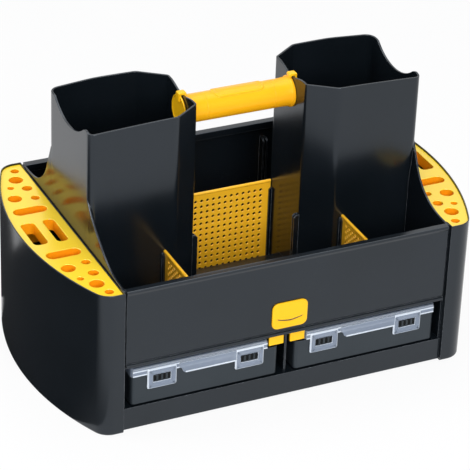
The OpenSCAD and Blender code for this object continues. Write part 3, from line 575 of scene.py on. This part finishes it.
for side, hand in (("left", -1), ("right", 1)):
    bm = bmesh.new()
    # Dished disc on a hollow spigot, from the bottom of the dish round to the outer face
    revolve(bm, [(73.3, 0), (73.2, 11.0), (72.8, 11.7), (59.4, 11.9), (59.4, 13.6), (59.8, 13.95),
        (73.2, 13.95), (73.3, 18.9), (73.5, 19.5), (73.9, 19.75), (74.6, 19.75), (75.1, 19.4), (75.3, 18.8),
        (75.1, 18.2), (74.4, 17.4), (74.1, 16.4), (74.0, 8), (74.0, 0)], 64)
    # Clip over the rim
    hook = [(73.6, 330), (76.8, 330), (77.2, 331), (77.2, 339.6), (76.6, 340.8), (75.4, 341.3),
        (68.4, 341.3), (67.2, 340.8), (66.7, 339.6), (66.7, 336.6), (69.5, 336.6),
        (69.5, 338.4), (73.6, 338.4)]
    width = [(-4.5, 0.9), (-4.1, 0.3), (-3.4, 0), (3.4, 0), (4.1, 0.3), (4.5, 0.9)]
    join(bm, [[(x + t * ((x < 68) - (x > 76.5)), y, z - t * (z > 340.5)) for x, z in hook]
        for y, t in width], ends=True)
    piece("grip_end_" + side, bm, yellow, stands_for=["handle_end_" + side],
        mirrored=hand < 0)

# ---- latch ----
# A yellow button with a finger scoop in front of the panel, joined through it to a plate with
# two square feet that stand in front of the boxes' lids. The bracket behind keeps its CAD shape.
BUTTON_Z, BUTTON_W, BUTTON_H, BUTTON_EDGE, COLUMNS, LINES = 114.8, 46.0, 35.0, 8.0, 44, 62
FACE_Y, FACE_EDGE = -168, -167.5


def lip_height(x):
    """Height of the button's curved lip over its middle."""
    return -2.4 - 3.6 * (1 - (x / 19) ** 2)


def button_face(x, z):
    """Depth of the button's face: it bulges down to a curved lip and is scooped out below it."""
    lip = lip_height(x)
    fade = min(max((18.5 - abs(x)) / 5, 0), 1)
    if z >= lip:
        return 0.5 - 0.5 * fade * max(0, 1 - (z - lip) / 9)
    return 0.5 + 1.9 * fade * max(0, 1 - (lip - z) / 7)


def brick(bm, x, y, z, r=0.4):
    """A block between two values along each axis, with small round edges."""
    size = [(b - a) * MM for a, b in (x, y, z)]
    middle = Vector([(a + b) / 2 for a, b in (x, y, z)]) * MM
    made = bmesh.ops.create_cube(bm, size=1,
        matrix=Matrix.Translation(middle) @ Matrix.Diagonal((*size, 1)))
    bmesh.ops.bevel(bm, geom=list({e for v in made["verts"] for e in v.link_edges}),
        offset=min(r * MM, min(size) / 2.2), offset_type="OFFSET", segments=3, profile=0.5, affect="EDGES",
        material=-1)


bm = bmesh.new()
grid = bmesh.ops.create_grid(bm, x_segments=COLUMNS, y_segments=LINES, size=0.5)["verts"]
border = [v for v in grid if v.is_boundary]
for v in grid:
    z = (BUTTON_H / 2 - 1.1) * 2 * v.co.y
    over = max(abs(z) - (BUTTON_H / 2 - BUTTON_EDGE), 0)
    reach = BUTTON_W / 2 - BUTTON_EDGE + math.sqrt(max((BUTTON_EDGE - 1.1) ** 2 - over ** 2, 0))
    x = reach * 2 * v.co.x
    v.co = Vector((x, FACE_EDGE if v.is_boundary else FACE_Y + button_face(x, z), BUTTON_Z + z)) * MM
# The border, walked round counter-clockwise from its lower left corner, is drawn back to the panel
row = [min(border, key=lambda v: (round(v.co.z, 7), v.co.x))]
row.append(max((e.other_vert(row[0]) for e in row[0].link_edges if e.is_boundary), key=lambda v: v.co.x))
while len(row) < len(border):
    row.append(next(v for e in row[-1].link_edges if e.is_boundary for v in [e.other_vert(row[-1])]
        if v != row[-2]))
edge = [(v.co.x / MM, v.co.z / MM) for v in row]
for g, y in ((0.6, -167.25), (0.95, -166.9), (1.1, -166.4), (1.1, -165.3)):
    row = draw_on(bm, row, [(x, y, z) for x, z in grow(edge, g)])
close(bm, row)
brick(bm, (-10, 10), (-165.5, -161.8), (BUTTON_Z - 4.5, BUTTON_Z + 4.5))
brick(bm, (-23.2, 23.2), (-162.2, -160.2), (89.4, 128.3))
for s in (-1, 1):
    brick(bm, sorted((s * 4.2, s * 23.2)), (-162.2, -159.2), (73, 90), 0.5)
# Black strip under the lip: painted shadow of the crease there
lip_shadow = bmesh.new()
shadow_band = [(1.6 * k, 0.7 + 0.8 * (1 - abs(k) / 10)) for k in range(-10, 11)]
join(lip_shadow, [[(x, y, BUTTON_Z + lip_height(x) - 0.1 - drop) for y, drop in ((-167.2, 0), (-167.95, 0),
    (-167.95, tall), (-167.2, tall))] for x, tall in shadow_band], ends=True)
piece("button_lip_painted_shadow", lip_shadow, black, "latch")
piece("latch_button", bm, yellow, "latch", stands_for=["latch_slider"])
dress(black, "latch_keeper")

# ---- dividers ----
# Perforated yellow plates with a bead along the top, stood in the slots of the bins and walls.
# Their CAD shapes have every hole.
# The dividers' yellow is a slightly paler copy: painted light standing for light they lack in the well
# between the bins
lit_divider_yellow = moulded("yellow_sheet_painted_light", rgb(255, 192, 40), rgb(254, 185, 32), rgb(255, 230, 120), 0.34,
    0.0000012, speck=0.1, highlight_share=0.5)
dress(lit_divider_yellow, "centre_divider", "front_divider_left", "front_divider_right")

# ---- parts boxes ----
# Dark moulded trays with partitions and ribbed latch noses. The clear lids are milky domes with
# a shelf, a rolled skirt, bevelled latch loops and a stepped finger lip, held by hinge pins.
tray_black = moulded("dark_plastic", rgb(30, 35, 40), rgb(35, 40, 45), rgb(104, 109, 114), 0.38, 0.0000035)
tray_black.set(Specular_Tint=(0.8, 0.92, 1.0, 1.0))
# Milky clear plastic; its edges are painted near white nearly all along as highlights
clear = moulded("clear_plastic", rgb(150, 162, 180), rgb(140, 153, 172), rgb(240, 245, 250), 0.20,
    0.0000012, edge=0.0008, speck=0.2, highlight_share=0.9, keen=0.07)
# Material of the pale strips and bevels: painted highlights on the lids' clear edges
clear_highlight = moulded("clear_painted_highlights", rgb(226, 234, 243), rgb(210, 220, 232), rgb(250, 252, 254), 0.18,
    0.0000012, speck=0.1)
clear_highlight.set(Alpha=0.9, Specular_IOR_Level=0.7)
slant = clear.node("ShaderNodeLayerWeight", {"Blend": 0.35}, out="Facing")
clear.set(Alpha=slant.ramp(0.0, 1.0, 0.55, 0.95), Specular_IOR_Level=0.7)
# Near black for the plates between the nose ribs: painted shade
painted_shade_black = moulded("painted_shade_plastic", rgb(11, 13, 15), rgb(13, 15, 17), rgb(40, 43, 46), 0.6, 0.0000035)
painted_shade_black.set(Specular_IOR_Level=0.15)
dress(tray_black, "box_tray_left", "box_tray_right", "box_partitions_left", "box_partitions_right")
BOX_X, FRONT, BACK, RIM, FLANGE, DOME = 105.0, -162.2, -3.2, 70.6, 72.2, 81.8
BOX_HALF, SHELF_W, LOOP_X, HINGE_X = 94, 13.6, 56, 60
for side, hand in (("left", -1), ("right", 1)):
    bm = bmesh.new()
    x_in, x_out = BOX_X - BOX_HALF + SHELF_W, BOX_X + BOX_HALF
    mid_y, deep = (FRONT + BACK) / 2, BACK - FRONT
    # Flange with its hollow dome, drawn as one thin shell
    dome = oblong((x_in + x_out) / 2, mid_y, x_out - x_in, deep, 4, 6)
    shell = [at(grow(dome, -4.4), DOME - 2.4), at(grow(dome, -1.6), DOME - 2.6),
        at(grow(dome, -1.6), RIM + 0.05), at(dome, RIM + 0.05), at(dome, RIM + 0.4), at(dome, DOME - 1.4)]
    shell += [at(grow(dome, -i), DOME - d) for i, d in fillet(1.4)[1:]]
    shell += [at(grow(dome, -i), DOME - d) for i, d in ((2.2, 0.05), (3.4, 0.9), (4.2, 1.0))]
    rows = join(bm, shell)
    close(bm, rows[-1]), close(bm, rows[0])
    # Shelf beside the dome, for the latch foot
    brick(bm, (BOX_X - BOX_HALF, x_in + 1), (FRONT + 8, BACK), (RIM + 0.05, FLANGE), 0.5)
    for s in (-1, 1):
        # Latch loop: bevelled frame round a window, as (outline, growth, height) steps
        cx = BOX_X + s * LOOP_X
        frame_loop, window = oblong(cx, 64.8, 37, 27, 2.5, 4), oblong(cx, 64.5, 22.5, 10, 0.8, 4)
        steps = [(frame_loop, 0, 0), (frame_loop, 0, 1.0), (frame_loop, -1.6, 2.4), (frame_loop, -2.2, 2.7),
            (frame_loop, -4.2, 2.7), (window, 3.0, 2.7), (window, 2.6, 2.6), (window, 0.3, 1.3),
            (window, 0, 1.1), (window, 0, 0)]
        rows = join(bm, [[(x, FRONT - 0.3 - up, z) for x, z in (grow(loop, g) if g else loop)]
            for loop, g, up in steps])
        # The frame's outer and window bevels take the pale material: painted highlights
        for a, b in ((1, 2), (7, 8)):
            for face in set().union(*(v.link_faces for v in rows[a])) & set().union(
                    *(v.link_faces for v in rows[b])):
                face.material_index = 1
        bmesh.ops.bridge_loops(bm, edges=around(bm, rows[-1]) + around(bm, rows[0]))
        brick(bm, (cx - 16, cx + 16), (FRONT - 1.8, FRONT + 0.6), (RIM + 1.4, 76.2), 0.4)
    # Skirt along the dome's front, and the stepped finger lip that runs on behind the right-hand loop
    brick(bm, (x_in + 1, x_out - 1.5), (FRONT - 0.7, FRONT + 0.4), (RIM + 1.0, DOME - 1.2), 0.35)
    step = [(-34, 79), (-34, 72.4), (-31.4, 70.9), (-29.4, 66.4), (-27.4, 64.7), (38.5, 64.7), (38.5, 79)]
    join(bm, [[(BOX_X + hand * (x + 0.4 * t * (x < 0)), y, z + 0.4 * t * (z < 72)) for x, z in step]
        for y, t in ((FRONT - 0.35, 0), (FRONT - 2.5, 0), (FRONT - 2.9, 1), (FRONT - 3.0, 2.2))], ends=True)
    # Pale strips along the skirt and under the lip: painted highlights on the clear edges
    before = set(bm.faces)
    strip = (x_in + 1, x_out - 1.5)
    for x, out, z in ((strip, 1.2, (76.9, 78.3)), (strip, 1.2, (RIM + 0.6, RIM + 1.9)),
            (sorted((BOX_X - hand * 26.5, BOX_X + hand * 38.4)), 3.3, (64.4, 66.0))):
        brick(bm, x, (FRONT - out, FRONT if out < 2 else FRONT - 2.4), z, 0.3)
    for face in set(bm.faces) - before:
        face.material_index = 1
    # Hinge knuckles
    for s in (-1, 1):
        loop = [(-2.8, 71), (-2.4, 79), (3.8, 79), (4.9, 77), (4.9, 64.6), (4.3, 62.9), (2.6, 62.3),
            (0.9, 62.9), (0.3, 64.6), (0.3, 70.9)]
        join(bm, [[(BOX_X + s * HINGE_X + x, BACK + y, z) for y, z in loop] for x in (-14, 14)], ends=True)
    made = piece("box_lid_dressed_" + side, bm, clear, "box_" + side,
        stands_for=["box_lid_" + side], mirrored=hand < 0)
    made.data.materials.append(clear_highlight.holder)

    # Near-black plates between the ribs of the latch noses: painted shade of the hollows there
    bm = bmesh.new()
    for s in (-1, 1):
        for a, b in ((-10.2, -7.2), (-4.8, -1.2), (1.2, 4.8), (7.2, 10.2)):
            x = BOX_X + s * LOOP_X
            brick(bm, (x + a, x + b), (FRONT - 1.0, FRONT - 0.5), (60.7, 68.3), 0.15)
    piece("latch_nose_painted_shade_" + side, bm, painted_shade_black, "box_" + side, mirrored=hand < 0)

# ---- pins and screws ----
# Zinc-plated steel pins turn in the lids' hinges, and four screws hold the bins to the base.
# They keep their CAD shapes.
steel = moulded("plated_steel", rgb(176, 178, 182), rgb(160, 163, 168), rgb(210, 212, 215), 0.26, 0.0000008)
steel.set(Metallic=1.0)
dress(steel, "box_hinge_pins_left", "box_hinge_pins_right", "base_screws")

# ---- floor, light and camera ----
# A pale floor in a bright studio, with soft boxes above, to the front and on the left. The
# camera stands high to the front left.


def soft_box(name, spot, target, size, power):
    light = bpy.data.lights.new(name, "AREA")
    light.shape, light.size, light.size_y, light.energy = "RECTANGLE", *size, power
    made = bpy.data.objects.new(name, light)
    made.location = spot
    made.rotation_euler = (Vector(target) - Vector(spot)).to_track_quat("-Z", "Y").to_euler()
    bpy.context.scene.collection.objects.link(made)


def sheet(name, x, y, z, net):
    """A flat part of the studio, between two values along X and Y, in metres."""
    bm = bmesh.new()
    bmesh.ops.create_grid(bm, x_segments=1, y_segments=1, size=0.5,
        matrix=Matrix.Translation((sum(x) / 2, sum(y) / 2, z))
        @ Matrix.Diagonal((x[1] - x[0], y[1] - y[0], 1, 1)))
    mesh = bpy.data.meshes.new(name)
    bm.to_mesh(mesh)
    bm.free()
    mesh.materials.append(net.holder)
    made = bpy.data.objects.new(name, mesh)
    bpy.context.scene.collection.objects.link(made)
    return made


pale = Net("pale_floor")
patches = pale.noise(pale.place(), 3.0).ramp(0.3, 0.7)
pale.set(Base_Color=pale.mix(patches, rgb(232, 232, 234), rgb(228, 228, 230)), Roughness=0.9)
white = pale.node("ShaderNodeEmission", {"Color": (1, 1, 1, 1), "Strength": 1.0})
lit = pale.node("ShaderNodeMixShader",
    {0: pale.seen() * 0.9, 1: Wire(pale, pale.shader.outputs[0]), 2: white})
pale.put(pale.nodes["Material Output"].inputs["Surface"], lit)
sheet("floor", (-4, 4), (-4, 4), 0, pale)

# Dark sheets on the floor beside and behind the left cap, seen only in gloss: painted reflection of shade on
# the floor there.
# They thin out towards the front
dark = Net("gloss_only_floor_shade").set(Base_Color=rgb(8, 8, 9), Roughness=0.95)
depth = dark.node("ShaderNodeSeparateXYZ", {0: dark.node("ShaderNodeTexCoord", out="Object")}, out="Y")
dark.set(Alpha=depth.ramp(-0.32, -0.09))
for name, x, y in (("shade_sheet_left", (-0.85, -0.345), (-0.32, 0.285)),
        ("shade_sheet_near", (-0.345, -0.255), (-0.32, 0.46)),
        ("shade_sheet_behind", (-0.255, -0.10), (0.172, 0.46))):
    shade_sheet = sheet(name, x, y, 0.0015, dark)
    shade_sheet.visible_camera = shade_sheet.visible_diffuse = shade_sheet.visible_shadow = shade_sheet.visible_transmission = False

world = bpy.data.worlds.new("studio")
bpy.context.scene.world = world
studio = Net("studio", world)
studio.set(Color=studio.mix(studio.seen(), (0.32, 0.33, 0.35, 1), (1, 1, 1, 1)))

soft_box("key", (-0.7, -1.4, 2.2), (0, 0, 0.15), (1.6, 1.2), 17)
soft_box("front", (-0.35, -2.6, 1.5), (0, 0, 0.15), (1.4, 1.0), 52)
soft_box("top", (0.3, 0.4, 2.4), (0, 0, 0.1), (2.0, 2.0), 25)
soft_box("side", (-2.0, 0.8, 1.4), (0, 0, 0.2), (1.2, 1.2), 20)

# Turn, height, roll, distance in metres; then the picture's side and middle in pixels
AZ, EL, ROLL, FAR = math.radians(-26.39), math.radians(30.51), math.radians(2.53), 2.9946
aim = Vector((0, -0.0612, 0.1260))
away = Vector((math.sin(AZ) * math.cos(EL), -math.cos(AZ) * math.cos(EL), math.sin(EL)))
right = Vector((math.cos(AZ), math.sin(AZ), 0))
up = away.cross(right)
x_axis = right * math.cos(ROLL) + up * math.sin(ROLL)
y_axis = up * math.cos(ROLL) - right * math.sin(ROLL)
lens = bpy.data.cameras.new("camera")
PICTURE, FOCAL, MIDDLE, SENSOR = 470, 2487.6, (252.2, 263.4), 36
lens.lens, lens.sensor_width = FOCAL / PICTURE * SENSOR, SENSOR
lens.shift_x, lens.shift_y = 0.5 - MIDDLE[0] / PICTURE, MIDDLE[1] / PICTURE - 0.5
camera = bpy.data.objects.new("camera", lens)
camera.matrix_world = Matrix((x_axis, y_axis, away)).transposed().to_4x4()
camera.location = aim + away * FAR
bpy.context.scene.collection.objects.link(camera)
bpy.context.scene.camera = camera
bpy.context.scene.view_settings.view_transform = "Standard"
